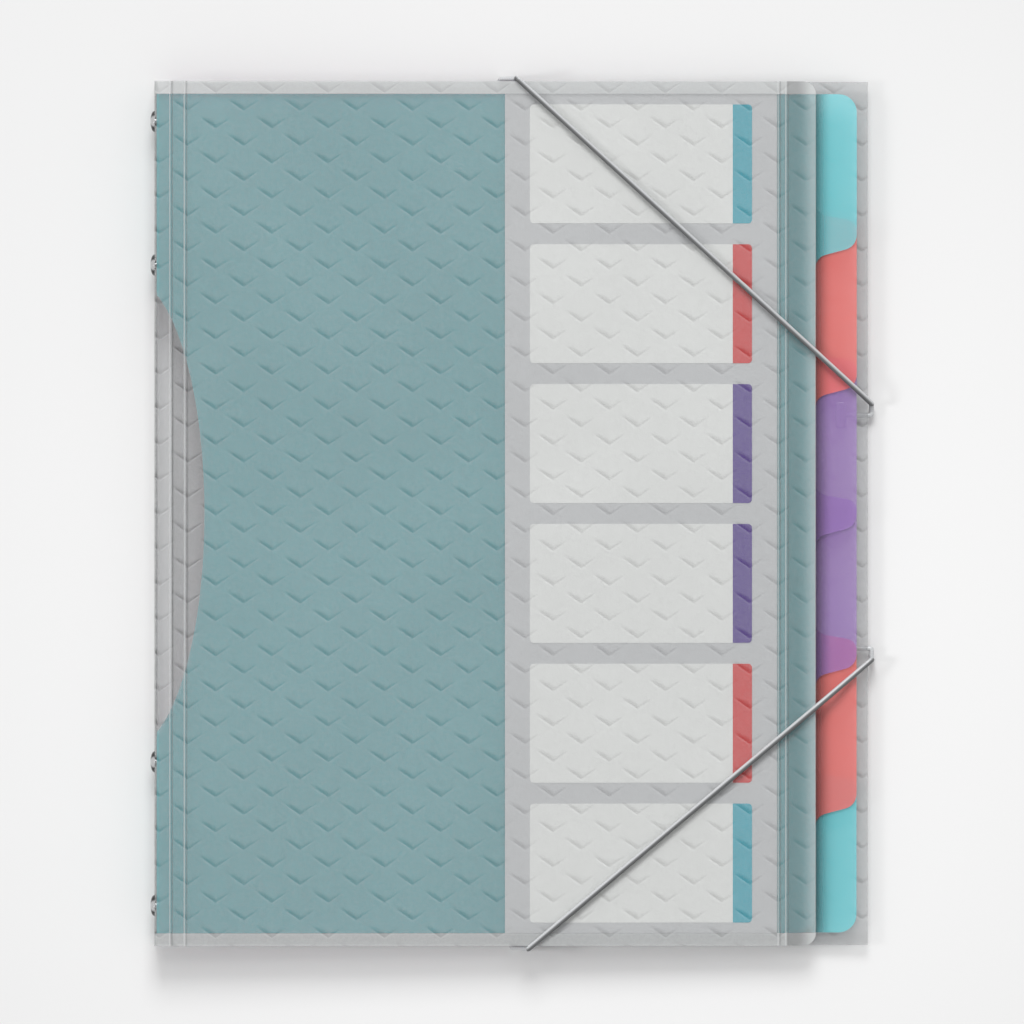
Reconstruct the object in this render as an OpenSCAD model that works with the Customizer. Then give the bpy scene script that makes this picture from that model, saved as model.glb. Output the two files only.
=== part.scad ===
// A sorting folder: two covers and a spine of translucent sheet, six tabbed dividers
// riveted to the spine, an index sheet behind the front cover and two corner elastics.
// It lies on its back. X runs from the spine to the free edges, Y up the page and Z up
// through the thickness. The origin is under the middle of the back cover.

/* [Covers] */
// Width of the back cover, from the outside of the spine to the free edge
back_w = 253; // [240:1:270]
// How far the covers stand past the dividers at the head and at the foot
cover_margin = 4.5; // [3:0.5:8]
// Thickness of the cover sheet
cover_t = 0.8; // [0.6:0.1:1.2]
// Thickness of the closed folder at the spine
spine_t = 16; // [15:0.5:24]
// Radius of the front cover's outer corners
cover_r = 4.6; // [2:0.2:10]
// How far the front cover laps past the body of the dividers
front_lap = 0.3; // [0.1:0.1:3]
// Distance from the spine to the first crease
spine_crease = 5.8; // [5:0.2:8]
// Distance between the two creases beside the spine
spine_crease_step = 5.1; // [3:0.1:8]
// Distance from the front cover's free edge to its last crease
edge_crease = 10.4; // [8:0.2:12]
// Distance between the two creases beside the free edge
edge_crease_step = 2.7; // [2:0.1:4]
// Width of a pressed crease
crease_w = 0.8; // [0.4:0.1:1.2]
// Depth of a pressed crease
crease_d = 0.2; // [0.1:0.05:0.3]

/* [Dividers] */
// Height of a divider
leaf_h = 297; // [280:1:310]
// Thickness of a divider
leaf_t = 0.4; // [0.3:0.05:0.6]
// Gap between neighbouring dividers at their free edges
leaf_gap = 0.3; // [0.2:0.05:0.5]
// Step between neighbouring folds beside the spine
fold_pitch = 1; // [0.8:0.05:1.1]
// How far a tab stands out past the body of its divider
tab_reach = 14.8; // [12:0.2:18]
// How far the back cover stands out past the tabs
tab_margin = 4.4; // [3.6:0.2:8]
// How far a tab's outer edge passes its sixth of the height, above and below
tab_lap = 4.5; // [2:0.25:6]
// How far a tab's root passes its sixth of the height, above
tab_root_above = 7.1; // [6.4:0.1:9]
// How far a tab's root passes its sixth of the height, below
tab_root_below = 8.4; // [6.4:0.1:9]
// Radius of a tab's upper outer corner
tab_r_above = 4; // [2:0.25:6]
// Radius of a tab's lower outer corner
tab_r_below = 5.3; // [2:0.1:6]
// Radius between a tab's root and the body of its divider
root_r = 5; // [2:0.5:8]
// Radius of a divider's own outer corners
leaf_r = 6.4; // [3:0.2:8]
// Depth of the cut-out in the dividers, from the outside of the spine
notch_depth = 17.7; // [12:0.5:30]
// Half the height of the cut-out in the dividers
notch_half = 78.4; // [70:0.2:90]

/* [Rivets] */
// Diameter of a rivet's domed head
head_d = 7.7; // [6:0.1:9]
// Height of a rivet's domed head
head_h = 1.6; // [1:0.1:2.4]
// Diameter of a rivet's shank
shank_d = 3.2; // [2.4:0.1:4]
// Diameter of the washer inside the spine
washer_d = 6.4; // [5.6:0.1:6.8]
// Thickness of the washer
washer_t = 0.5; // [0.3:0.1:0.8]
// Height of the clinched end on the washer
clinch_h = 0.6; // [0.4:0.1:1]
// Distance from the end of a binding strip to the nearest rivet
rivet_inset = 9.6; // [7:0.2:15]

/* [Index] */
// Width of the index sheet
card_w = 96.3; // [85:0.5:105]
// Gap between the index sheet and the creases beside the free edge
card_gap = 0.7; // [0.6:0.1:3]
// Thickness of the index sheet
card_t = 0.3; // [0.2:0.05:0.4]
// Thickness of a label
label_t = 0.15; // [0.1:0.05:0.2]
// Margin of the index sheet beside the labels
label_margin = 8.85; // [6:0.25:12]
// Space between neighbouring labels
label_space = 7.4; // [4:0.2:12]
// Radius of a label's corners
label_r = 1.4; // [0.5:0.1:3]
// Width of the coloured bar at the end of a label
bar_w = 6.8; // [4:0.2:10]

/* [Elastics] */
// Diameter of the elastic cord
cord_d = 1.9; // [1.6:0.1:2.4]
// Distance from the free edge to the upper elastic, along the head
top_along = 123.7; // [115:0.5:130]
// Distance from the head to the upper elastic, along the free edge
top_down = 113.2; // [105:0.5:120]
// Distance from the free edge to the lower elastic, along the foot
bottom_along = 119.5; // [115:0.5:130]
// Distance from the foot to the lower elastic, along the free edge
bottom_up = 100.3; // [95:0.5:110]
// How far an elastic runs sideways as it rounds the head or the foot
tail_slant = 6; // [4:0.5:9]
// How far an elastic runs sideways as it rounds the free edge
edge_slant = 4; // [3:0.5:8]
// Distance from the edges of the back cover to the holes of the elastics
hole_inset = 10; // [8:0.5:13]
// Width of the flat clip on the end of an elastic
clip_w = 4; // [3.2:0.2:6]
// Length of the flat clip
clip_l = 9; // [7:0.5:12]
// Thickness of the flat clip
clip_t = 0.5; // [0.4:0.05:0.6]

/* [Hidden] */
// clearances
hinge_gap = 0.1;
fold_gap = 0.1;
strip_gap = 0.4;
rivet_gap = 0.05;
cord_gap = 0.05;
clip_gap = 0.2;
hole_gap = 0.2;
overrun = 5;

// counts
tab_count = 6;
upper_leaves = 3;
cord_sides = 8;
bend_steps = 4;
dome_steps = 8;
arc_angle = 10;
notch_points = 72;
notch_outset_share = 0.5;
$fn = 48;

// places along X
spine_x = -back_w / 2;
back_x = spine_x + back_w;
tab_x = back_x - tab_margin;
body_x = tab_x - tab_reach;
front_x = body_x + front_lap;
crease_1 = spine_x + spine_crease;
crease_2 = crease_1 + spine_crease_step;
crease_4 = front_x - edge_crease;
crease_3 = crease_4 - edge_crease_step;
stack_x = spine_x + cover_t;
stack_t = tab_count * leaf_t;
card_x1 = crease_3 - card_gap;
card_x0 = card_x1 - card_w;
label_x0 = card_x0 + label_margin;
label_x1 = card_x1 - label_margin;

// places along Y
cover_h = leaf_h + 2 * cover_margin;
head_y = cover_h / 2;
tab_pitch = leaf_h / tab_count;
label_h = tab_pitch - label_space;
rivet_ys = [for (side = [-1, 1], y = [leaf_h / 2 - rivet_inset, notch_half + rivet_inset]) side * y];

// corner elastics: edge crossings, direction and the divider that each one passes over
cord_r = cord_d / 2;
cord_off = cord_r + cord_gap;
side_x = back_x + cord_off;
top_a = [back_x - top_along, head_y];
top_b = [back_x, head_y - top_down];
bottom_a = [back_x - bottom_along, -head_y];
bottom_b = [back_x, -head_y + bottom_up];
top_leaf_index = 2;
bottom_leaf_index = 5;

// The back cover is flat beside the spine and rises from its first crease, so that the
// folder rests on that flat strip and on the elastics that pass below the cover.
function line_x(a, b, y) = a[0] + (b[0] - a[0]) * (y - a[1]) / (b[1] - a[1]);
function line_y(a, b, x) = a[1] + (b[1] - a[1]) * (x - a[0]) / (b[0] - a[0]);
low_tail_x = line_x(top_a, top_b, head_y + cord_off) - tail_slant;
back_slope = (cord_d + cord_gap) / (low_tail_x - crease_1);
function back_under(x) = max(0, (x - crease_1) * back_slope);
function back_top(x) = back_under(x) + cover_t;

function unit(v) = v / norm(v);

// The dividers' folds: the upper three hang from the top of their binding strips and the
// lower three from the bottom, and the strips lie on each other in turn.
leaf_room = clip_t + 2 * clip_gap;
function is_upper(i) = i <= upper_leaves;
function rank(i) = is_upper(i) ? i - 1 : tab_count - i;
function layer(i) = is_upper(i) ? 2 * rank(i) : 2 * rank(i) + 1;
function fold_x(i) = stack_x + layer(i) * leaf_t + fold_gap;
function fold_inset(i) = cover_t + leaf_room + leaf_t + rank(i) * fold_pitch;
function fold_z(i) = is_upper(i) ? spine_t - fold_inset(i) : fold_inset(i) - leaf_t;
function end_z(i) = back_top(tab_x) + leaf_room + (tab_count - i) * (leaf_t + leaf_gap);
function leaf_under(i, x) = line_y([fold_x(i), fold_z(i)], [tab_x, end_z(i)], x);
function leaf_top(i, x) = leaf_under(i, x) + leaf_t;

// The front cover is flat beside the spine, falls to its last crease and falls more
// steeply from there to its free edge.
front_low = leaf_top(1, crease_4) + leaf_gap + card_t + label_t;
front_edge = leaf_top(1, front_x) + leaf_gap;
function front_under(x) =
    x < crease_1 ? spine_t - cover_t
    : x < crease_4 ? line_y([crease_1, spine_t - cover_t], [crease_4, front_low], x)
    : line_y([crease_4, front_low], [front_x, front_edge], x);
function front_top(x) = front_under(x) + cover_t;

sheet_grey = [0.66, 0.7, 0.71, 0.55];
card_grey = [0.75, 0.76, 0.77];
label_white = [0.88, 0.89, 0.89];
teal = [0.47, 0.77, 0.79];
red = [0.88, 0.45, 0.44];
purple = [0.56, 0.46, 0.68];
leaf_colours = [teal, red, purple, purple, red, teal];

// One rounded corner of an outline at b, between a and c: points on an arc of radius r.
function corner(a, b, c, r) =
    r == 0 ? [b] :
    let (
        u = unit(a - b), v = unit(c - b),
        half = acos(u * v) / 2,
        centre = b + unit(u + v) * r / sin(half),
        start = b + u * r / tan(half) - centre,
        sweep = (180 - 2 * half) * sign(u[1] * v[0] - u[0] * v[1]),
        steps = ceil(abs(sweep) / arc_angle)
    )
    [for (k = [0 : steps]) let (s = sweep * k / steps)
        centre + [start[0] * cos(s) - start[1] * sin(s), start[0] * sin(s) + start[1] * cos(s)]];

// An outline from corners [x, y, radius].
function rounded(points) =
    let (n = len(points), p = [for (q = points) [q[0], q[1]]])
    [for (i = [0 : n - 1]) each corner(p[(i + n - 1) % n], p[i], p[(i + 1) % n], points[i][2])];

function flipped(points) = [for (i = [len(points) - 1 : -1 : 0]) points[i]];

// A profile in X and Z, carried along Y over the height h.
module along_y(h) {
    rotate([90, 0, 0]) linear_extrude(height = h, center = true) children();
}

// Everything above a flat outline in X and Y.
module above(outline) {
    translate([0, 0, -overrun]) linear_extrude(height = spine_t + 2 * overrun) polygon(outline);
}

// Pressed creases across the outer faces of the covers.
function back_crease(x) = [
    [x - crease_w / 2, back_under(x - crease_w / 2)],
    [x, back_under(x) + crease_d],
    [x + crease_w / 2, back_under(x + crease_w / 2)]
];
function front_crease(x) = [
    [x - crease_w / 2, front_top(x - crease_w / 2)],
    [x, front_top(x) - crease_d],
    [x + crease_w / 2, front_top(x + crease_w / 2)]
];

module back_cover() {
    outer = concat(
        [[spine_x + hinge_gap, 0]], back_crease(crease_1), back_crease(crease_2),
        [[back_x, back_under(back_x)]]
    );
    inner = [[spine_x + hinge_gap + cover_t, cover_t], [crease_1, cover_t], [back_x, back_top(back_x)]];
    color(sheet_grey) difference() {
        along_y(cover_h) polygon(concat(outer, flipped(inner)));
        for (foot = cord_feet) {
            translate([foot[1][0], foot[1][1], -overrun])
                cylinder(r = cord_r + hole_gap, h = spine_t + 2 * overrun);
        }
    }
}

module spine() {
    color(sheet_grey) difference() {
        along_y(cover_h) polygon([
            [spine_x, hinge_gap], [stack_x, cover_t + hinge_gap],
            [stack_x, spine_t - cover_t - hinge_gap], [spine_x, spine_t - hinge_gap]
        ]);
        rivet_holes();
    }
}

module front_cover() {
    outer = concat(
        [[spine_x + hinge_gap, spine_t]], front_crease(crease_1), front_crease(crease_2),
        front_crease(crease_3), front_crease(crease_4), [[front_x, front_top(front_x)]]
    );
    inner = [
        [spine_x + hinge_gap + cover_t, spine_t - cover_t], [crease_1, front_under(crease_1)],
        [crease_4, front_low], [front_x, front_edge]
    ];
    outline = [
        [spine_x, -head_y, 0], [front_x, -head_y, cover_r],
        [front_x, head_y, cover_r], [spine_x, head_y, 0]
    ];
    color(sheet_grey) intersection() {
        along_y(cover_h + overrun) polygon(concat(outer, flipped(inner)));
        above(rounded(outline));
    }
}

// A layer below the front cover, from depth a to depth b under its inner face.
module under_front(x0, x1, a, b, h) {
    along_y(h) polygon([
        [x0, front_under(x0) - b], [x1, front_under(x1) - b],
        [x1, front_under(x1) - a], [x0, front_under(x0) - a]
    ]);
}

module index_sheet() {
    color(card_grey) under_front(card_x0, card_x1, label_t, label_t + card_t, leaf_h);
}

// A label with its coloured bar, for section i counted from the head.
module label(i) {
    y = leaf_h / 2 - (i - 0.5) * tab_pitch;
    bar_x = label_x1 - bar_w;
    outline = rounded([
        [label_x0, y - label_h / 2, label_r], [label_x1, y - label_h / 2, label_r],
        [label_x1, y + label_h / 2, label_r], [label_x0, y + label_h / 2, label_r]
    ]);
    color(label_white) intersection() {
        under_front(label_x0, bar_x, 0, label_t, leaf_h);
        above(outline);
    }
    color(leaf_colours[i - 1]) intersection() {
        under_front(bar_x, label_x1, 0, label_t, leaf_h);
        above(outline);
    }
}

// The outline of divider i: its body with one tab, whose flanks run under its neighbours'.
function leaf_outline(i) =
    let (top = leaf_h / 2 - (i - 1) * tab_pitch, bottom = top - tab_pitch)
    concat(
        [[spine_x, -leaf_h / 2, 0]],
        i == tab_count
            ? [[tab_x, -leaf_h / 2, leaf_r]]
            : [
                [body_x, -leaf_h / 2, leaf_r],
                [body_x, bottom - tab_root_below, root_r],
                [tab_x, bottom - tab_lap, tab_r_below]
            ],
        i == 1
            ? [[tab_x, leaf_h / 2, leaf_r]]
            : [
                [tab_x, top + tab_lap, tab_r_above],
                [body_x, top + tab_root_above, root_r],
                [body_x, leaf_h / 2, leaf_r]
            ],
        [[spine_x, leaf_h / 2, 0]]
    );

// The cut-out beside the spine: an ellipse whose centre lies outside the spine, so that it
// meets the spine's outside at half its height and reaches in by its depth.
notch_outset = notch_depth * notch_outset_share;
notch_reach = notch_depth + notch_outset;
notch_rise = notch_half / sqrt(1 - pow(notch_outset / notch_reach, 2));
notch_outline = [for (k = [0 : notch_points - 1]) let (a = 360 * k / notch_points)
    [spine_x - notch_outset + notch_reach * cos(a), notch_rise * sin(a)]];

module divider(i) {
    color(leaf_colours[i - 1]) difference() {
        intersection() {
            along_y(cover_h) polygon([
                [fold_x(i), leaf_under(i, fold_x(i))], [back_x, leaf_under(i, back_x)],
                [back_x, leaf_top(i, back_x)], [fold_x(i), leaf_top(i, fold_x(i))]
            ]);
            above(rounded(leaf_outline(i)));
        }
        above(notch_outline);
    }
}

// The binding strips of divider i, above and below the cut-out, against the spine.
module binding(i) {
    facing = tab_count + 1 - max(1, rank(i));
    facing_above = rank(i) + 1;
    z0 = is_upper(i) ? fold_z(facing) + leaf_t + strip_gap : fold_z(i) + leaf_t + fold_gap;
    z1 = is_upper(i) ? fold_z(i) - fold_gap : fold_z(facing_above) - strip_gap;
    x0 = stack_x + layer(i) * leaf_t;
    strip_h = leaf_h / 2 - notch_half;
    color(leaf_colours[i - 1]) difference() {
        for (side = [-1, 1]) {
            translate([x0, side > 0 ? notch_half : -leaf_h / 2, z0]) cube([leaf_t, strip_h, z1 - z0]);
        }
        rivet_holes();
    }
}

module rivet_holes() {
    for (y = rivet_ys) {
        translate([spine_x - overrun, y, spine_t / 2]) rotate([0, 90, 0])
            cylinder(d = shank_d + 2 * rivet_gap, h = cover_t + stack_t + 2 * overrun);
    }
}

// Each rivet is turned about its own axis: domed head outside, shank, clinch inside.
module rivets() {
    dome_r = (head_d * head_d / 4 + head_h * head_h) / (2 * head_h);
    dome_a = asin(head_d / 2 / dome_r);
    shank_l = cover_t + stack_t + washer_t;
    clinch_d = (shank_d + washer_d) / 2;
    dome = [for (a = [0 : dome_a / dome_steps : dome_a])
        [dome_r * sin(a), dome_r - head_h - dome_r * cos(a)]];
    profile = concat(
        [[0, -head_h]], [for (k = [1 : len(dome) - 2]) dome[k]],
        [
            [head_d / 2, 0], [shank_d / 2, 0], [shank_d / 2, shank_l],
            [clinch_d / 2, shank_l], [clinch_d / 2, shank_l + clinch_h / 2],
            [shank_d / 2, shank_l + clinch_h], [0, shank_l + clinch_h]
        ]
    );
    color("silver") for (y = rivet_ys) {
        translate([spine_x, y, spine_t / 2]) rotate([0, 90, 0]) rotate_extrude() polygon(profile);
    }
}

module rivet_washers() {
    color("gainsboro") for (y = rivet_ys) {
        translate([stack_x + stack_t, y, spine_t / 2]) rotate([0, 90, 0]) difference() {
            cylinder(d = washer_d, h = washer_t);
            translate([0, 0, -overrun]) cylinder(d = shank_d + 2 * rivet_gap, h = washer_t + 2 * overrun);
        }
    }
}

// A bend at b between a and c, as points on the parabola that leaves both legs smoothly.
function bend(a, b, c, reach) =
    let (p = b + unit(a - b) * reach, q = b + unit(c - b) * reach)
    [for (k = [0 : bend_steps]) let (t = k / bend_steps)
        (1 - t) * (1 - t) * p + 2 * t * (1 - t) * b + t * t * q];
function route(points, reach) = concat(
    [points[0]],
    [for (i = [1 : len(points) - 2]) each bend(points[i - 1], points[i], points[i + 1], reach)],
    [points[len(points) - 1]]
);

// A round cord along a route. Each ring's first direction is the last ring's, set square
// to the route again.
module cord(path) {
    last = len(path) - 1;
    ways = [for (i = [0 : last]) unit(path[min(i + 1, last)] - path[max(i - 1, 0)])];
    first = abs(ways[0][2]) > 0.5 ? [1, 0, 0] : [0, 0, 1];
    sides = [for (i = 0, n = unit(first - (first * ways[0]) * ways[0]); i <= last;
        i = i + 1, n = i <= last ? unit(n - (n * ways[i]) * ways[i]) : n) n];
    rings = [for (i = [0 : last], k = [0 : cord_sides - 1]) let (a = 360 * k / cord_sides)
        path[i] + cord_r * (cos(a) * sides[i] + sin(a) * cross(ways[i], sides[i]))];
    walls = [for (i = [0 : last - 1], k = [0 : cord_sides - 1])
        let (m = i * cord_sides, j = (k + 1) % cord_sides)
        each [[m + k, m + cord_sides + k, m + cord_sides + j], [m + k, m + cord_sides + j, m + j]]];
    start_cap = [for (k = [0 : cord_sides - 1]) k];
    end_cap = [for (k = [cord_sides - 1 : -1 : 0]) last * cord_sides + k];
    polyhedron(points = rings, faces = concat(walls, [start_cap, end_cap]));
}

// Where each elastic leaves the edge: joints on its line at the head or foot and at the side.
function edge_joint(a, b, y) = let (x = line_x(a, b, y)) [x, y, (front_top(x) + back_under(x)) / 2];
function side_joint(a, b) = [side_x, line_y(a, b, side_x), back_top(back_x) - cover_t / 2];
top_edge = edge_joint(top_a, top_b, head_y + cord_off);
top_side = side_joint(top_a, top_b);
bottom_edge = edge_joint(bottom_a, bottom_b, -head_y - cord_off);
bottom_side = side_joint(bottom_a, bottom_b);

// Under the cover, an elastic goes from its joint over a foot on the edge to a hole.
function edge_foot(j) = let (x = j[0] - tail_slant, way = sign(j[1]))
    [[x, j[1]], [x, way * (head_y - hole_inset)]];
function side_foot(j, way) = let (y = j[1] + way * edge_slant)
    [[side_x, y], [back_x - hole_inset, y]];
cord_feet = [edge_foot(top_edge), side_foot(top_side, -1), edge_foot(bottom_edge), side_foot(bottom_side, 1)];
joints = [top_edge, top_side, bottom_edge, bottom_side];

// The end of an elastic from its joint, round the edge, under the cover and up its hole.
module elastic_end(j, foot) {
    under = [for (p = foot) [p[0], p[1], back_under(min(p[0], back_x)) - cord_off]];
    hole = foot[1];
    path = route(
        [
            j - [0, 0, cord_gap], j - [0, 0, cord_d / 2 + cord_gap], under[0], under[1],
            [hole[0], hole[1], back_top(hole[0])]
        ],
        cord_d / 4
    );
    cord(path);
}

// The stretch of an elastic that closes the folder, from joint to joint over the front.
// over is the divider whose tab it passes last.
module elastic_span(a, b, edge, side, over) {
    function on_line(x, z) = [x, line_y(a, b, x), z];
    path = route(
        [
            edge + [0, 0, cord_gap],
            [edge[0], edge[1], front_top(edge[0]) + cord_off],
            on_line(crease_4, front_top(crease_4) + cord_off),
            on_line(front_x, front_top(front_x) + cord_off),
            on_line(tab_x, leaf_top(over, tab_x) + leaf_gap + cord_off),
            [side[0], side[1], back_top(back_x) + cord_off + cord_r / 2],
            side + [0, 0, cord_gap]
        ],
        cord_d / 4
    );
    color("lightgray") cord(path);
}

module elastic_top_ends() {
    color("lightgray") for (i = [0, 1]) elastic_end(joints[i], cord_feet[i]);
}

module elastic_bottom_ends() {
    color("lightgray") for (i = [2, 3]) elastic_end(joints[i], cord_feet[i]);
}

// Flat clips that hold the ends of the elastics inside the back cover.
module elastic_clips() {
    color("silver") for (foot = cord_feet) {
        x = foot[1][0];
        translate([x, foot[1][1], back_top(x) + cord_gap]) rotate([0, -atan(back_slope), 0])
            linear_extrude(height = clip_t) polygon(rounded([
                [-clip_w / 2, -clip_l / 2, clip_w / 3], [clip_w / 2, -clip_l / 2, clip_w / 3],
                [clip_w / 2, clip_l / 2, clip_w / 3], [-clip_w / 2, clip_l / 2, clip_w / 3]
            ]));
    }
}

back_cover();
spine();
front_cover();
index_sheet();
label(1);  // label_1
label(2);  // label_2
label(3);  // label_3
label(4);  // label_4
label(5);  // label_5
label(6);  // label_6
divider(1);  // divider_1
divider(2);  // divider_2
divider(3);  // divider_3
divider(4);  // divider_4
divider(5);  // divider_5
divider(6);  // divider_6
binding(1);  // binding_1
binding(2);  // binding_2
binding(3);  // binding_3
binding(4);  // binding_4
binding(5);  // binding_5
binding(6);  // binding_6
rivets();
rivet_washers();
elastic_top_ends();
elastic_bottom_ends();
elastic_span(top_a, top_b, top_edge, top_side, top_leaf_index);  // elastic_top
elastic_span(bottom_a, bottom_b, bottom_edge, bottom_side, bottom_leaf_index);  // elastic_bottom
elastic_clips();
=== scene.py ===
"""A sorting folder: translucent covers, six tabbed dividers, an index sheet with labels,
rivets along the spine and two corner elastics.

Lengths are in metres. X runs from the spine to the free edges, Y up the page, and Z up
through the closed folder's thickness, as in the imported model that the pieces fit.
"""

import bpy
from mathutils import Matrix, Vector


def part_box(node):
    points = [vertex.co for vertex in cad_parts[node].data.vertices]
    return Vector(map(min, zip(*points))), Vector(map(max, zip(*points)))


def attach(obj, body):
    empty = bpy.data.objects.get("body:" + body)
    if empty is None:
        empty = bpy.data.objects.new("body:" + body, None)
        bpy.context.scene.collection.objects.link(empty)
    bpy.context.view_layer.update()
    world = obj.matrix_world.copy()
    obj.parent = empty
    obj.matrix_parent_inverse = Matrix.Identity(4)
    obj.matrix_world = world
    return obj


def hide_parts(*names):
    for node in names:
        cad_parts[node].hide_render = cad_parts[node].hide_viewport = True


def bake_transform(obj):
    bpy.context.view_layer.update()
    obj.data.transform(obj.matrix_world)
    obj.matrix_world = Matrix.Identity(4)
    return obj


bl_info = {
    "name": "Sorting folder",
    "version": (1, 0, 0),
    "blender": (4, 5, 0),
    "location": "View3D > Sidebar > Folder",
    "description": "Makes the sheets, folds, elastics and metal pieces of a sorting folder",
    "category": "Add Mesh",
}

import math

import bmesh
import bpy
import numpy as np
from bpy.props import FloatProperty, FloatVectorProperty, IntProperty, PointerProperty
from bpy.types import Operator, Panel, PropertyGroup
from mathutils import Vector

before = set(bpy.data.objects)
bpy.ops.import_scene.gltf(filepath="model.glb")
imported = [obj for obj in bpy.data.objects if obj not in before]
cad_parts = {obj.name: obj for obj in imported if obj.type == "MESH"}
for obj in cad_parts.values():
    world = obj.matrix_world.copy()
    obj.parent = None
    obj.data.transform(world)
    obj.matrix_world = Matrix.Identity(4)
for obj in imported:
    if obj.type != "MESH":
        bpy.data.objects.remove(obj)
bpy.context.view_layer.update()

MM = 0.001
# Distances from a sheet's edge at which its rows are crowded
NEAR = np.array([0.0, 0.3, 0.8]) * MM
# Points closer than this are merged
WELD = 2e-7
LEAF_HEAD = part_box("divider_1")[1].y
# Numbers of the dividers and labels of each colour
LEAF_HUES = {"teal": (1, 6), "red": (2, 5), "purple": (3, 4)}


def shown(red, green, blue):
    """The linear colour that a screen shows as these three numbers from 0 to 255."""
    share = np.array([red, green, blue]) / 255
    linear = np.where(share <= 0.04045, share / 12.92, ((share + 0.055) / 1.055) ** 2.4)
    return tuple(float(v) for v in linear)


def scaled(colour, share, plus=0.0):
    """A colour made darker or lighter by a share, with a little white added."""
    return tuple(min(1.0, c * share + plus) for c in colour)


def faint(opacity):
    """The opacity of one face of a sheet, both of whose faces together have this opacity."""
    return 1 - math.sqrt(1 - opacity)


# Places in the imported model


class Places:
    """Sizes and places that several pieces share, most of them from the model's boxes."""

    def __init__(self):
        spine_lo, spine_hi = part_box("spine")
        back_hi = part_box("back_cover")[1]
        front_lo, front_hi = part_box("front_cover")
        label_lo, label_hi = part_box("label_1")
        self.spine_x, self.sheet_t = spine_lo.x, spine_hi.x - spine_lo.x
        self.top_z, self.head_y = front_hi.z, back_hi.y
        self.back_x, self.front_x = back_hi.x, front_hi.x
        self.back_end, self.front_end = back_hi.z - self.sheet_t, front_lo.z + self.sheet_t
        self.label_corner = (label_lo.x, label_hi.z)

    @property
    def first_crease(self):
        """X of the crease nearest to the spine, in both covers."""
        return self.spine_x + bpy.context.scene.folder_covers.spine_crease

    @property
    def last_crease(self):
        """X of the front cover's crease nearest to its free edge."""
        return self.front_x - bpy.context.scene.folder_covers.edge_crease

    @property
    def back_rise(self):
        """Slope of the back cover."""
        return self.back_end / (self.back_x - self.first_crease)

    def back_under(self, x):
        """Underside of the back cover: level to the first crease, then one even rise."""
        return np.maximum(0, (np.asarray(x) - self.first_crease) * self.back_rise)

    def front_top(self, x):
        """Top of the front cover: level to the first crease, an even fall through the labels'
        corner to the last crease, then a fall that steepens to the free edge."""
        x = np.asarray(x, float)
        first, last = self.first_crease, self.last_crease
        fall = (self.label_corner[1] + self.sheet_t - self.top_z) / (self.label_corner[0] - first)
        slope = self.top_z + np.maximum(0, x - first) * fall
        low = self.top_z + (last - first) * fall
        t = np.clip((x - last) / (self.front_x - last), 0, 1)
        steepening = 0.55
        bow = (1 - steepening) * t + steepening * t * t
        return np.where(x < last, slope, low + (self.front_end - low) * bow)


PLACES = Places()


# Sizes and colours to set


def a_length(name, description, millimetres, precision=4):
    """A length that can be set, its default given in millimetres."""
    return FloatProperty(name=name, description=description, default=millimetres * MM, min=0,
                         unit="LENGTH", subtype="DISTANCE", precision=precision)


def a_colour(name, piece, red, green, blue):
    """A colour that can be set, its default given as a screen shows it."""
    return FloatVectorProperty(name=name, description=f"Colour of {piece}", size=3, min=0, max=1,
                               default=shown(red, green, blue), subtype="COLOR")


def an_opacity(name, sheet, opacity):
    """A sheet's opacity that can be set, the share that both its faces hide together."""
    return FloatProperty(name=name, description=f"Share of what lies behind that {sheet} hides",
                         default=opacity, min=0, max=0.99, subtype="FACTOR")


class FolderCovers(PropertyGroup):
    """Sizes and colours of the covers, the spine and their folds."""

    spine_crease: a_length("Spine crease", "From the spine to the first crease", 5.8)
    spine_step: a_length("Spine crease step", "Between the two creases beside the spine", 5.1)
    edge_crease: a_length("Edge crease", "From the free edge to the last crease", 10.4)
    edge_step: a_length("Edge crease step", "Between the two creases beside the free edge", 2.7)
    crease_width: a_length("Crease width", "Width of a pressed crease", 0.8)
    crease_depth: a_length("Crease depth", "Depth of a pressed crease", 0.2, precision=5)
    corner: a_length("Corner radius", "Radius of the front cover's outer corners", 4.6)
    fold: a_length("Fold radius", "Outer radius of the folds beside the spine", 1.2)
    front_tint: a_colour("Front tint", "the front cover's sheet", 186, 188, 188)
    back_tint: a_colour("Back tint", "the back cover's sheet", 192, 194, 196)
    front_opacity: an_opacity("Front opacity", "the front cover", 0.36)
    back_opacity: an_opacity("Back opacity", "the back cover", 0.5)
    emboss_depth: a_length(
        "Emboss depth", "Step at the chevrons pressed into the sheet", 0.14, precision=5)


class FolderDividers(PropertyGroup):
    """Colours of the dividers."""

    teal: a_colour("Teal", "the first and the last divider", 121, 234, 243)
    red: a_colour("Red", "the second and the fifth divider", 255, 131, 126)
    purple: a_colour("Purple", "the two middle dividers", 177, 138, 211)
    opacity: an_opacity("Opacity", "a divider", 0.58)
    red_opacity: an_opacity("Red opacity", "a red divider", 0.68)


class FolderIndex(PropertyGroup):
    """Colours of the index sheet and its labels."""

    sheet: a_colour("Sheet", "the index sheet", 218, 219, 221)
    label: a_colour("Label", "a label", 254, 255, 253)
    bar_width: a_length("Bar width", "Width of the coloured bar at the end of a label", 6.8)
    teal: a_colour("Teal bar", "the first and the last label's bar", 50, 184, 204)
    red: a_colour("Red bar", "the second and the fifth label's bar", 230, 6, 6)
    purple: a_colour("Purple bar", "the two middle labels' bars", 78, 10, 152)


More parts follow.
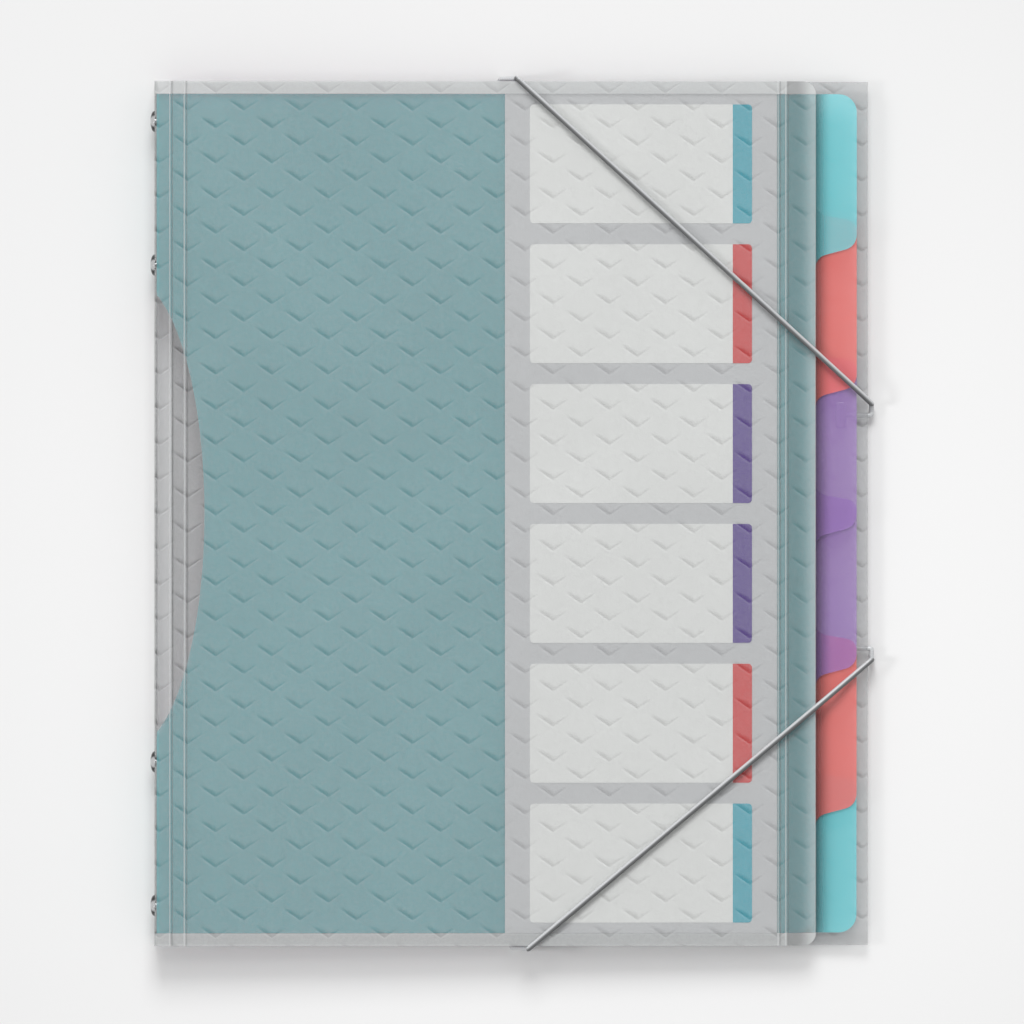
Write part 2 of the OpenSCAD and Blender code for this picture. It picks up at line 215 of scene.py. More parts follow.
class FolderElastics(PropertyGroup):
    """Sizes of the corner elastics, and where they cross the edges of the back cover."""

    diameter: a_length("Diameter", "Diameter of the elastic cord", 1.9)
    top_along: a_length("Upper, along the head", "From the free edge to the upper elastic", 123.7)
    top_down: a_length("Upper, along the edge", "From the head to the upper elastic", 113.2)
    bottom_along: a_length(
        "Lower, along the foot", "From the free edge to the lower elastic", 119.5)
    bottom_up: a_length("Lower, along the edge", "From the foot to the lower elastic", 100.3)
    edge_slant: a_length("Slant at the head", "Sideways run as it rounds the head or the foot", 6)
    side_slant: a_length("Slant at the side", "Sideways run as it rounds the free edge", 4)
    hole_inset: a_length("Hole inset", "From the back cover's edges to the holes", 10)
    strands: IntProperty(
        name="Strands", description="Strands round the braid in each direction",
        default=8, min=3, max=16)
    tint: a_colour("Tint", "the elastic", 209, 211, 213)


class FolderMetal(PropertyGroup):
    """Sizes and colours of the rivets, their washers and the elastics' clips."""

    head_height: a_length("Head height", "Height of a rivet's domed head", 1.6)
    shank: a_length("Shank", "Diameter of a rivet's shank", 3.2)
    clip_width: a_length("Clip width", "Width of a clip, along X", 4)
    clip_length: a_length("Clip length", "Length of a clip, along Y", 9)
    clip_thickness: a_length("Clip thickness", "Thickness of a clip", 0.5, precision=5)
    nickel: a_colour("Nickel", "the rivets", 196, 197, 198)
    steel: a_colour("Steel", "the clips", 150, 152, 154)


class FolderStage(PropertyGroup):
    """The floor, the light and the camera."""

    floor: a_colour("Floor", "the floor", 241, 241, 241)
    sky: FloatProperty(
        name="Sky", description="Strength of the even light from all round", default=0.56, min=0)
    lamp: FloatProperty(
        name="Lamp", description="Power of the soft lamp beyond the head", default=93, min=0,
        unit="POWER")
    width: a_length("View width", "Width that the camera sees at the folder", 362.5)
    lens: FloatProperty(
        name="Lens", description="Focal length of the camera", default=400, min=1, unit="CAMERA")


# Shaders


def operation(name, swapped=False):
    """A method that adds a Math node, with its sides swapped for a reflected operator."""
    def method(self, other):
        sides = (other, self) if swapped else (self, other)
        return self.finish.math(name, *sides)
    return method


class Wire:
    """A socket that formulas are written with: each operator in them adds a Math node."""

    def __init__(self, finish, socket):
        self.finish, self.socket = finish, socket

    __add__ = __radd__ = operation("ADD")
    __sub__ = operation("SUBTRACT")
    __rsub__ = operation("SUBTRACT", swapped=True)
    __mul__ = __rmul__ = operation("MULTIPLY")
    __truediv__ = operation("DIVIDE")
    __pow__ = operation("POWER")


class Finish:
    """A node tree that is being filled, for a material or the world."""

    def __init__(self, owner):
        self.owner = owner
        owner.use_nodes = True
        self.tree = owner.node_tree
        self.tree.nodes.clear()

    def node(self, kind, settings=None, values=(), **sockets):
        """Add a node with its settings, then give its sockets values or links, by order in
        values or by name."""
        node = self.tree.nodes.new(kind)
        for key, value in (settings or {}).items():
            setattr(node, key, value)
        live = [socket for socket in node.inputs if socket.enabled]
        named = {socket.name: socket for socket in reversed(live)}
        pairs = list(zip(live, values))
        pairs += [(named[name.replace("_", " ")], value) for name, value in sockets.items()]
        for socket, value in pairs:
            if isinstance(value, Wire):
                self.tree.links.new(value.socket, socket)
            elif socket.type == "RGBA":
                socket.default_value = (*value, 1)
            else:
                socket.default_value = value
        return node

    def out(self, node, name=None):
        """One output of a node, the first live one unless it is named."""
        live = [socket for socket in node.outputs if socket.enabled]
        return Wire(self, next(s for s in live if name is None or s.name == name))

    def math(self, operation, *values):
        return self.out(self.node("ShaderNodeMath", {"operation": operation}, values))

    def mix(self, share, first, second):
        """The first colour, turned into the second by the share."""
        return self.out(self.node("ShaderNodeMix", {"data_type": "RGBA"}, (share, first, second)))

    def smooth(self, value, low, high):
        """0 below low and 1 above high, or the other way round, with a smooth step between."""
        settings = {"interpolation_type": "SMOOTHSTEP"}
        ends = {"From_Min": min(low, high), "From_Max": max(low, high)}
        step = self.out(self.node("ShaderNodeMapRange", settings, Value=value, **ends))
        return 1 - step if low > high else step

    def band(self, value, start, full, fade, end):
        """1 from full to fade, with a smooth step down to 0 at start and at end."""
        return self.smooth(value, start, full) * self.smooth(value, end, fade)

    def places(self, source="Object"):
        """The coordinates of a point, in millimetres on Object coordinates."""
        vector = self.out(self.node("ShaderNodeTexCoord"), source)
        split = self.node("ShaderNodeSeparateXYZ", Vector=vector)
        scale = 1 / MM if source == "Object" else 1
        return vector, [self.out(split, axis) * scale for axis in "XYZ"]

    def noise(self, vector, per_metre, detail, stretch=(1, 1, 1)):
        """Soft noise between 0 and 1, drawn out along an axis where its stretch is low."""
        if stretch != (1, 1, 1):
            vector = self.out(self.node("ShaderNodeMapping", Vector=vector, Scale=stretch))
        return self.out(self.node("ShaderNodeTexNoise", Vector=vector, Scale=per_metre,
                                  Detail=detail, Roughness=0.55))

    def bump(self, height):
        """The normal over a height in metres."""
        return self.out(self.node("ShaderNodeBump", Height=height, Strength=1.0, Distance=1.0))

    def surface(self, **sockets):
        """The shader itself and the tree's output."""
        shader = self.node("ShaderNodeBsdfPrincipled", **sockets)
        self.node("ShaderNodeOutputMaterial", Surface=self.out(shader))
        return self.owner


def material(name):
    return Finish(bpy.data.materials.new(name))


def chevrons(finish, x, y):
    """Rows of chevrons pressed into the sheet, in millimetres. The points are wrapped into one
    rhombus by u = x / width - y / height and v = x / width + y / height. Folded at its middle
    line, a chevron is one arm: across it the sheet sinks evenly over a wedge that narrows from
    its point to its tip, and rises again over a third of a millimetre. The left arm is pressed
    harder than the right."""
    width, height, drop = 19.9, 12.45, 2.0
    start_x, start_y = -104.8, 148.9
    reach, rise, length = 0.82, 0.572, 8.0
    x, y = (x - start_x) * (1 / width), (y - (start_y + drop)) * (1 / height)
    u = finish.math("WRAP", x - y, 0.5, -0.5)
    v = finish.math("WRAP", x + y, 0.5, -0.5)
    x, y = (u + v) * (width / 2), (v - u) * (height / 2) + drop
    left = finish.smooth(x, 0.6, -0.6)
    side = finish.math("ABSOLUTE", x)
    along = side * reach + y * rise
    across = side * rise - y * reach
    wide = 1.5 + left * 0.9 - along * 0.21
    share = finish.band(along, -0.9, 0.3, length * 0.45, length) * (left * 0.26 + 0.7)
    wedge = finish.smooth(across / wide, -1.0, 0.0) * finish.smooth(across, 0.38, 0.0)
    rim = finish.band(across, 0.1, 0.4, 0.5, 1.1)
    # Wedge and rim also colour the sheet: painted shade in the wedge, a painted highlight on the
    # rim
    return wedge * share, rim * share


def crease_lines(finish, colour, veil, x, creases, pale, deep):
    """The colour and opacity with each crease whitened and a painted shadow line just beyond it.
    """
    white = dark = 0.0
    for crease in creases:
        past = x - crease
        white = white + finish.band(past, -0.75, -0.3, -0.2, 0.1)
        # Painted shadow line just past each crease
        dark = dark + finish.band(past, 0.0, 0.3, 0.45, 1.0)
    colour = finish.mix(dark * 0.4, finish.mix(white * 0.9, colour, pale), deep)
    return colour, veil + white * 0.16 + dark * 0.1


def free_strip(finish, colour, veil, inwards, pale, deep):
    """The colour and opacity with a strip along the free edge: a painted glow of light at the
    edge and painted shade beside its crease, from the distance inwards."""
    # Painted glow of light towards the edge and painted shade beside the crease
    painted_edge_glow = finish.smooth(inwards, 7, 0) ** 1.5
    painted_shade = finish.band(inwards, 1, 7, 9.5, 10.5)
    colour = finish.mix(painted_shade * 0.45, finish.mix(painted_edge_glow * 0.75, colour, pale), deep)
    return colour, veil + painted_edge_glow * 0.09 + painted_shade * 0.05


def cover_sheet(name, tint, opacity, across="X", creases=(), edge=None, back=False):
    """Translucent embossed sheet: chevrons, fine satin grain, mottle and faint clouds in its
    tint, with lines along its creases and a strip along its free edge. The chevrons' wedges get
    painted shade and their rims a painted highlight. Past the dividers the front sheet gets
    painted light, more at the head than at the foot, and the back sheet painted shade, more at
    the foot; beside the spine the back sheet gets painted light in two steps. Places are in
    millimetres."""
    props = bpy.context.scene.folder_covers
    finish = material(name)
    vector, (x, y, z) = finish.places()
    press_and_shade, rim = chevrons(finish, x if across == "X" else z, y)
    grain, mottle, waves, clouds = (finish.noise(vector, n, 1) for n in (2600, 900, 120, 22))
    pale, deep, cloudy = scaled(tint, 1.45), scaled(tint, 0.2), scaled(tint, 0.8)
    specks, blots, shades = (finish.smooth(n, 0.35, 0.65) for n in (grain, mottle, clouds))
    colour = finish.mix(shades * 0.3, tint, cloudy)
    colour = finish.mix(specks * 0.2 + blots * 0.16, colour, deep)
    # Painted shade in the chevrons' wedges and a painted highlight on their rims
    colour = finish.mix(rim * 0.35, finish.mix(press_and_shade * 0.86, colour, deep), pale)
    veil = faint(opacity)
    leaf_head, blur = LEAF_HEAD / MM, 0.15
    head = finish.smooth(y, leaf_head - blur, leaf_head + blur)
    foot = finish.smooth(y, blur - leaf_head, -blur - leaf_head)
    if back:
        # Painted shade past the dividers, more at the foot
        colour = finish.mix(head * 0.14 + foot * 0.2, colour, deep)
        inwards = x - PLACES.spine_x / MM
        # Painted light beside the spine, in two steps
        painted_spine_light = finish.smooth(inwards, 22.5, 18.5) * 0.6 + finish.smooth(inwards, 7, 5) * 0.4
        painted_spine_light = painted_spine_light * finish.smooth(inwards, 0.1, 1.1)
        colour = finish.mix(painted_spine_light, colour, (0.94, 0.94, 0.95))
        veil = veil + painted_spine_light * 0.54
    else:
        # Painted light past the dividers, more at the head
        colour = finish.mix(head * 0.72 + foot * 0.55, colour, pale)
        veil = veil + head * 0.34 + foot * 0.3
    if creases:
        colour, veil = crease_lines(finish, colour, veil, x, creases, pale, deep)
    if edge:
        colour, veil = free_strip(finish, colour, veil, edge - x, pale, deep)
    relief = (grain * (0.014 * MM) + waves * (0.12 * MM) - press_and_shade * props.emboss_depth
              + rim * (0.03 * MM))
    return finish.surface(Base_Color=colour, Roughness=0.36 + grain * 0.12 + press_and_shade * 0.1,
                          Alpha=veil, Normal=finish.bump(relief), Specular_IOR_Level=0.45)


def leaf_sheet(name, tint, opacity):
    """A divider's coloured sheet: faint streaks from its rolling, fine grain, clouded tint,
    and a painted shadow of the front cover's edge on each tab, fading over some millimetres past
    it."""
    finish = material(name)
    vector, (x, _, _) = finish.places()
    edge = PLACES.front_x / MM
    # Painted shadow of the front cover's edge on the tabs
    cover_edge_shadow = finish.band(x, edge - 0.5, edge, edge - 1, edge + 6.2)
    streaks = finish.noise(vector, 260, 1, (1, 0.03, 1))
    grain = finish.noise(vector, 2400, 0)
    clouds = finish.noise(vector, 16, 1)
    colour = finish.mix(finish.smooth(clouds, 0.3, 0.7) * 0.35, tint, scaled(tint, 0.86))
    colour = finish.mix(finish.smooth(streaks, 0.3, 0.8) * 0.12, colour, scaled(tint, 1.12, 0.02))
    colour = finish.mix(cover_edge_shadow * 0.88, colour, scaled(tint, 0.1))
    return finish.surface(Base_Color=colour, Roughness=0.34 + grain * 0.14,
                          Alpha=faint(opacity) + cover_edge_shadow * 0.2,
                          Normal=finish.bump(grain * (0.008 * MM)), Specular_IOR_Level=0.45)


def paper(name, tint, bar=None, bar_start=0.0):
    """Smooth paper with a faint fibre, and a printed bar beyond bar_start where there is one."""
    finish = material(name)
    vector, (x, _, _) = finish.places()
    fibre = finish.noise(vector, 1400, 4, (1, 0.35, 1))
    clouds = finish.noise(vector, 30, 2)
    colour = finish.mix(finish.smooth(clouds, 0.35, 0.7) * 0.2, tint, scaled(tint, 0.93))
    rough = 0.62 + fibre * 0.1
    if bar is not None:
        printed = finish.smooth(x, bar_start - 0.04, bar_start + 0.04)
        ink = finish.mix(finish.smooth(fibre, 0.45, 0.8) * 0.2, bar, scaled(bar, 1.3, 0.03))
        colour = finish.mix(printed, colour, ink)
        rough = rough - printed * 0.2
    return finish.surface(Base_Color=colour, Roughness=rough, Specular_IOR_Level=0.35,
                          Normal=finish.bump(fibre * (0.02 * MM)))


def braid(name, tint, strands, painted_shade_side=0.0):
    """Braided elastic on the cord's own map, u round it and v along it in millimetres: two
    sets of strands cross as ridges, with darker gaps and a thread running in each strand.
    The side towards the foot of the page, where u is a half, may get painted shade."""
    finish = material(name)
    _, (u, v, _) = finish.places("UV")
    slant, threads, thread_slant = 0.62, 5, 3.1
    left = finish.math("SINE", (u * strands + v * slant) * math.tau)
    right = finish.math("SINE", (u * strands - v * slant) * math.tau)
    weave = left * right * 0.5 + 0.5
    fibres = finish.math("SINE", (u * (strands * threads) + v * thread_slant) * math.tau)
    thread = fibres * 0.5 + 0.5
    colour = finish.mix(finish.smooth(weave, 0.5, 0.05) * 0.4, tint, scaled(tint, 0.5))
    colour = finish.mix(thread * 0.12, colour, scaled(tint, 0.75))
    # Painted shade on the cord's side towards the foot of the page
    painted_shade = finish.smooth(finish.math("ABSOLUTE", u - 0.5), 0.38, 0.2)
    colour = finish.mix(painted_shade * painted_shade_side, colour, scaled(tint, 0.1))
    relief = weave * (0.035 * MM) + thread * (0.006 * MM)
    return finish.surface(Base_Color=colour, Metallic=0.15, Roughness=0.36 + weave * 0.08,
                          Normal=finish.bump(relief), Specular_IOR_Level=0.6)


def plated(name, tint, rough, brush=(1, 1, 1), painted_reflection=False):
    """Plated metal: fine brushing, faint blotches and, where asked, a painted reflection that
    darkens two opposite sides of a turned piece away from its axis, from its own map, u round
    the axis and v the radius."""
    finish = material(name)
    vector, _ = finish.places()
    brushed = finish.noise(vector, 5200, 3, brush)
    blotch = finish.noise(vector, 420, 3)
    colour = finish.mix(finish.smooth(blotch, 0.4, 0.75) * 0.4, tint, scaled(tint, 0.72))
    if painted_reflection:
        _, (turn, radius, _) = finish.places("UV")
        # Painted reflection: two opposite sides darkened away from the axis
        side = finish.math("ABSOLUTE", finish.math("SINE", turn * math.tau))
        painted_fan = finish.smooth(side, 0.36, 0.64) * finish.smooth(radius, 0.4, 1.6)
        colour = finish.mix(painted_fan * 0.95, colour, scaled(tint, 0.04))
    rough = rough + brushed * 0.14 + blotch * 0.06
    return finish.surface(Base_Color=colour, Metallic=1.0, Roughness=rough,
                          Normal=finish.bump(brushed * (0.006 * MM)))


# Surfaces


def from_grid(name, points, round_v=False, uv=None, weld=False, sharp=50):
    """A mesh from points on a grid: face (i, j) joins the points (i, j), (i+1, j), (i+1, j+1)
    and (i, j+1). With round_v the last column joins the first, and the map of the points in uv
    has one column more than they."""
    points = np.asarray(points, float)
    m, n = points.shape[:2]
    columns = n if round_v else n - 1
    i, j = np.meshgrid(np.arange(m - 1), np.arange(columns), indexing="ij")
    k = (j + 1) % n
    faces = np.stack([i * n + j, (i + 1) * n + j, (i + 1) * n + k, i * n + k], -1).reshape(-1, 4)
    mesh = bpy.data.meshes.new(name)
    mesh.from_pydata(points.reshape(-1, 3), (), faces)
    if uv is not None:
        layer = mesh.uv_layers.new(name="map")
        corners = np.stack([uv[i, j], uv[i + 1, j], uv[i + 1, j + 1], uv[i, j + 1]], 2)
        layer.data.foreach_set("uv", corners.reshape(-1).astype(np.float32))
    return as_object(name, mesh, weld, sharp)


def as_object(name, mesh, weld, sharp):
    """An object for the mesh. Welding merges what lies on one spot and turns faces outwards."""
    if weld:
        solid = bmesh.new()
        solid.from_mesh(mesh)
        bmesh.ops.remove_doubles(solid, verts=solid.verts, dist=WELD)
        bmesh.ops.recalc_face_normals(solid, faces=solid.faces)
        solid.to_mesh(mesh)
        solid.free()
    mesh.polygons.foreach_set("use_smooth", np.ones(len(mesh.polygons), bool))
    mesh.set_sharp_from_angle(angle=math.radians(sharp))
    mesh.update()
    return in_scene(name, mesh)


def in_scene(name, data):
    """A new object in the scene."""
    piece = bpy.data.objects.new(name, data)
    bpy.context.scene.collection.objects.link(piece)
    return piece


def dress(piece, finish, body, slot, *nodes):
    """Give a piece its material and its body, and hide the nodes that it stands for."""
    piece.data.materials.append(finish)
    if body:
        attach(piece, body)
    if nodes:
        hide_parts(*nodes)


def rows_over(half, near=NEAR, step=9 * MM):
    """Rows from -half to half, crowded at both ends."""
    inner = half - near[-1]
    middle = np.linspace(-inner, inner, max(3, int(2 * inner / step)))
    ends = half - near[:-1]
    return np.concatenate([-ends, middle, ends[::-1]])


def stations(end, creases, props, step=7 * MM):
    """Places along a cover from its first crease, crowded at both ends and at each crease."""
    start = creases[0]
    plain = np.linspace(start, end, int(abs(end - start) / step) + 2)
    pressed = [c + props.crease_width * np.linspace(-0.6, 0.6, 9) for c in creases]
    every = np.concatenate([plain, start + NEAR, end - NEAR, *pressed])
    every = np.unique(np.round(every, 7))
    return every[(every >= start - 1e-9) & (every <= end + 1e-9)]


def dent(x, creases, props):
    """Depth of the pressed creases: a raised cosine as wide as a crease on each of them."""
    off = (x[:, None] - np.asarray(creases)) / props.crease_width
    return np.where(np.abs(off) < 0.5, props.crease_depth * np.cos(math.pi * off) ** 2, 0).sum(1)


def walled(name, x, y, z, thickness):
    """A sheet over the grid that its places in X, Y and Z spread to. It is walled inwards from
    its outer face, a hair short of what lies against it, and its edges are rounded a little."""
    hair, rounding = 0.02 * MM, 0.22 * MM
    piece = from_grid(name, np.stack(np.broadcast_arrays(x, y, z), -1))
    wall = piece.modifiers.new("wall", "SOLIDIFY")
    wall.thickness, wall.offset, wall.use_even_offset = thickness - hair, -1, True
    edge = piece.modifiers.new("edge", "BEVEL")
    edge.width, edge.segments = rounding, 2
    edge.limit_method, edge.angle_limit = "ANGLE", math.radians(60)
    return piece


def prism(name, outer, inner, ys):
    """A closed strip between an outer and an inner line in X and Z, carried along Y: the
    two lines make one loop, repeated at every y, and both ends are closed by quads."""
    outer, inner = np.asarray(outer), np.asarray(inner)
    loop = np.concatenate([outer, inner[::-1]])
    count, rows, n = len(loop), len(ys), len(outer)
    points = np.stack(np.broadcast_arrays(loop[:, 0], ys[:, None], loop[:, 1]), -1)
    i, j = np.meshgrid(np.arange(rows - 1), np.arange(count), indexing="ij")
    k = (j + 1) % count
    walls = np.stack([i * count + j, i * count + k, (i + 1) * count + k, (i + 1) * count + j], -1)
    s = np.arange(n - 1)
    cap = np.stack([s, count - 1 - s, count - 2 - s, s + 1], -1)
    faces = np.concatenate([walls.reshape(-1, 4), cap, (cap + (rows - 1) * count)[:, ::-1]])
    mesh = bpy.data.meshes.new(name)
    mesh.from_pydata(points.reshape(-1, 3), (), faces)
    return as_object(name, mesh, True, 50)


def bent(corners, reach, step):
    """A line through corners, evenly spaced, with each inner corner rounded by the parabola
    that starts and ends `reach` from it."""
    corners = np.asarray(corners, float)
    middle = corners[1:-1]
    reach = np.broadcast_to(reach, len(middle))[:, None]

    def towards(others):
        way = others - middle
        return middle + way / np.linalg.norm(way, axis=1)[:, None] * reach

    start, end = towards(corners[:-2])[:, None], towards(corners[2:])[:, None]
    t = np.linspace(0, 1, 9)[None, :, None]
    arcs = (1 - t) ** 2 * start + 2 * t * (1 - t) * middle[:, None] + t ** 2 * end
    line = np.concatenate([corners[:1], arcs.reshape(-1, 3), corners[-1:]])
    length = np.concatenate([[0], np.cumsum(np.linalg.norm(np.diff(line, axis=0), axis=1))])
    even = np.linspace(0, length[-1], int(length[-1] / step) + 2)
    return np.stack([np.interp(even, length, line[:, a]) for a in range(3)], 1), even


def cord_piece(name, path, along, radius, aside, sides=20):
    """A round cord along a path: at each place a circle square to the path, begun from the
    direction `aside` with its share along the path taken away. Both ends close to a point. Its
    map has u round the cord and v along it in millimetres."""
    way = np.gradient(path, axis=0)
    way /= np.linalg.norm(way, axis=1)[:, None]
    first = aside - (way @ aside)[:, None] * way
    first /= np.linalg.norm(first, axis=1)[:, None]
    second = np.cross(way, first)
    angle = np.linspace(0, math.tau, sides, endpoint=False)[None, :, None]
    circle = np.cos(angle) * first[:, None] + np.sin(angle) * second[:, None]
    start, end = (np.broadcast_to(place, (1, sides, 3)) for place in (path[0], path[-1]))
    points = np.concatenate([start, path[:, None] + radius * circle, end])
    v = np.concatenate([along[:1], along, along[-1:]]) / MM
    uv = np.stack(np.meshgrid(np.linspace(0, 1, sides + 1), v, indexing="xy"), -1)
    return from_grid(name, points, True, uv, True, 60)


def turned(name, profile, centre, axis, sides=56, sharp=50):
    """A profile of distances along an axis and radii, turned about the axis through the centre:
    every point becomes a circle. Its map has u round the axis and v the radius in millimetres."""
    axis = Vector(axis)
    u = axis.cross(Vector((0, 1, 0)))
    v = axis.cross(u)
    profile = np.asarray(profile, float)
    angle = np.linspace(0, math.tau, sides, endpoint=False)
    ring = np.cos(angle)[:, None] * np.array(u) + np.sin(angle)[:, None] * np.array(v)
    points = (np.asarray(centre) + profile[:, None, :1] * np.array(axis)
              + profile[:, None, 1:] * ring[None])
    uv = np.meshgrid(np.linspace(0, 1, sides + 1), profile[:, 1] / MM, indexing="xy")
    return from_grid(name, points, True, np.stack(uv, -1), True, sharp)


def joined(name, pieces):
    """One object from several, whose meshes are put together."""
    work = bmesh.new()
    for piece in pieces:
        work.from_mesh(piece.data)
    mesh = bpy.data.meshes.new(name)
    work.to_mesh(mesh)
    work.free()
    for piece in pieces:
        bpy.data.objects.remove(piece)
    return as_object(name, mesh, False, 50)


# Routes of the elastics


def elastic_routes():
    """For each elastic the corner points of its span over the front, the direction across it,
    those of its two ends under the back cover, and its two holes. Span and ends meet on the
    elastic's line, half a cord outside the cover's edge."""
    props, p = bpy.context.scene.folder_elastics, PLACES
    r = props.diameter / 2
    clearance, tab_gap, leaf_t = 0.05 * MM, 0.3 * MM, 0.4 * MM
    off = r + clearance
    side_x = p.back_x + off
    tab_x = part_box("divider_2")[1].x
    tab_tops = {"top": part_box("divider_2")[0].z + leaf_t, "bottom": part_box("divider_5")[1].z}

    def over(x):
        return float(p.front_top(x)) + off

    routes = {}
    for name, way, along, down in (("top", 1, props.top_along, props.top_down),
                                   ("bottom", -1, props.bottom_along, props.bottom_up)):
        a = np.array([p.back_x - along, way * p.head_y])
        b = np.array([p.back_x, way * (p.head_y - down)])
        slope = (b - a)[1] / (b - a)[0]
        edge_y = way * (p.head_y + off)
        edge_x = a[0] + (edge_y - a[1]) / slope
        side_y = a[1] + (side_x - a[0]) * slope
        edge = np.array([edge_x, edge_y, (over(edge_x) - off + p.back_under(edge_x)) / 2])
        side = np.array([side_x, side_y, p.back_end + p.sheet_t / 2])
        inner = [[x, a[1] + (x - a[0]) * slope, z] for x, z in (
            (p.last_crease, over(p.last_crease)), (p.front_x, over(p.front_x)),
            (tab_x, tab_tops[name] + tab_gap + off))]
        span = [edge, [edge_x, edge_y, over(edge_x)], *inner,
                [side_x, side_y, p.back_end + p.sheet_t + off + r / 2], side]
        foot = edge_x - props.edge_slant
        low = side_y - way * props.side_slant
        hole_y = way * (p.head_y - props.hole_inset)
        hole_x = p.back_x - props.hole_inset
        ends = [
            [edge, edge - [0, 0, 2 * r], [foot, edge_y, p.back_under(foot) - off],
             [foot, hole_y, p.back_under(foot) - off],
             [foot, hole_y, p.back_under(foot) + p.sheet_t]],
            [side, side - [0, 0, 2 * r], [side_x, low, p.back_end - off],
             [hole_x, low, p.back_under(hole_x) - off],
             [hole_x, low, p.back_under(hole_x) + p.sheet_t]],
        ]
        across = np.array([-slope, 1, 0]) / math.hypot(slope, 1)
        routes[name] = (span, across, ends, [(foot, hole_y), (hole_x, low)])
    return routes


def hole_places():
    """X and Y of the elastics' holes, with the height of the back cover's underside there."""
    routes = elastic_routes().values()
    return [(x, y, PLACES.back_under(x)) for *_, holes in routes for x, y in holes]


# Operators


class FOLDER_OT_front_cover(Operator):
    """Make the front cover: an embossed sheet that falls from the spine to its rounded corners"""

    bl_idname = "folder.front_cover"
    bl_label = "Front cover"

    def execute(self, context):
        """Grid over X and Y. Height is Places.front_top less the creases, and the half height
        of the sheet falls by r - sqrt(r*r - d*d) over the last radius r, d into the corner."""
        props, p = context.scene.folder_covers, PLACES
        first, last = p.first_crease, p.last_crease
        creases = [first, first + props.spine_step, last - props.edge_step, last]
        round_off = p.front_x - props.corner * (1 - np.sin(np.linspace(0, math.pi / 2, 10)))
        strip = np.linspace(last, p.front_x, 12)
        x = np.concatenate([stations(p.front_x, creases, props), round_off, strip])
        x = np.unique(np.round(x, 7))
        z = p.front_top(x) - dent(x, creases, props)
        into = np.clip(x - (p.front_x - props.corner), 0, props.corner)
        half = p.head_y - (props.corner - np.sqrt(props.corner ** 2 - into ** 2))
        y = half[:, None] * (rows_over(p.head_y) / p.head_y)
        sheet = walled("front_sheet", x[:, None], y, z[:, None], p.sheet_t)
        finish = cover_sheet("front cover sheet", props.front_tint, props.front_opacity,
                             creases=[c / MM for c in creases], edge=p.front_x / MM)
        dress(sheet, finish, "front_cover", "cover_sheet", "front_cover")
        return {"FINISHED"}


class FOLDER_OT_back_cover(Operator):
    """Make the back cover, with a lip round each hole that an elastic passes"""

    bl_idname = "folder.back_cover"
    bl_label = "Back cover"

    def execute(self, context):
        """Grid over X and Y at Places.back_under plus the creases, facing down. A lip is an
        ellipse turned about its hole."""
        props, p = context.scene.folder_covers, PLACES
        creases = [p.first_crease, p.first_crease + props.spine_step]
        x = stations(p.back_x, creases, props)[::-1]
        z = p.back_under(x) + dent(x, creases, props)
        sheet = walled("back_sheet", x[:, None], rows_over(p.head_y), z[:, None], p.sheet_t)
        finish = cover_sheet("back cover sheet", props.back_tint, props.back_opacity,
                             creases=[c / MM for c in creases], back=True)
        dress(sheet, finish, "back_cover", "cover_sheet", "back_cover")
        lips = []
        height, radius, half_width = 0.09 * MM, 1.3 * MM, 0.25 * MM
        angle = np.linspace(0, math.tau, 17)
        ring = np.stack([height * np.sin(angle), radius + half_width * np.cos(angle)], 1)
        for x, y, under in hole_places():
            for z in (under, under + p.sheet_t):
                lips.append(turned("lip", ring, (x, y, z), (0, 0, 1), sides=32))
        dress(joined("hole_lips", lips), finish, "back_cover", "cover_sheet")
        return {"FINISHED"}


class FOLDER_OT_spine(Operator):
    """Make the spine and the two folds that join it to the covers"""

    bl_idname = "folder.spine"
    bl_label = "Spine and folds"

    def execute(self, context):
        """The spine is a grid over Z and Y. A fold is a quarter circle between two straight
        legs, carried along Y. Its wall thins to about half in the middle of the turn, and it
        bends from one sheet to the other."""
        props, p = context.scene.folder_covers, PLACES
        leg = 2 * props.fold
        top = p.top_z - leg
        inset = 1.5 * MM
        middle = np.linspace(leg + inset, top - inset, 7)
        z = np.concatenate([leg + NEAR, middle, (top - NEAR)[::-1]])
        sheet = walled("spine_sheet", p.spine_x, rows_over(p.head_y), z[:, None], p.sheet_t)
        tint, opacity = props.front_tint, props.front_opacity
        finish = cover_sheet("spine sheet", tint, opacity, across="Z")
        dress(sheet, finish, "spine", "cover_sheet", "spine")
        first = p.first_crease
        crease = [first / MM]
        folds = {"front_fold": cover_sheet("front fold sheet", tint, opacity, creases=crease),
                 "back_fold": cover_sheet("back fold sheet", props.back_tint,
                                          props.back_opacity, creases=crease, back=True)}
        thinning = 0.45
        turn = np.linspace(0, math.pi / 2, 17)
        ends = np.linspace(first - props.crease_width / 2, first, 5)
        sink = dent(ends, [first], props)
        ys = rows_over(p.head_y, NEAR[:2], 30 * MM)
        for name, a, b, up in (("front_fold", "spine", "front_cover", 1),
                               ("back_fold", "back_cover", "spine", -1)):
            level = p.top_z if up > 0 else 0.0
            lines = []
            for t in (0.0, p.sheet_t):
                r = props.fold - t * (1 - thinning * np.sin(2 * turn))
                arc_x = p.spine_x + props.fold - r * np.cos(turn)
                arc_z = level - up * (props.fold - r * np.sin(turn))
                xs = np.concatenate([[p.spine_x + t], arc_x, ends])
                zs = np.concatenate([[level - up * leg], arc_z, level - up * (t + sink)])
                lines.append(np.stack([xs, zs], 1))
            fold = prism(name, *lines, ys)
            dress(fold, folds[name], None, "cover_sheet")
            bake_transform(fold)
        return {"FINISHED"}


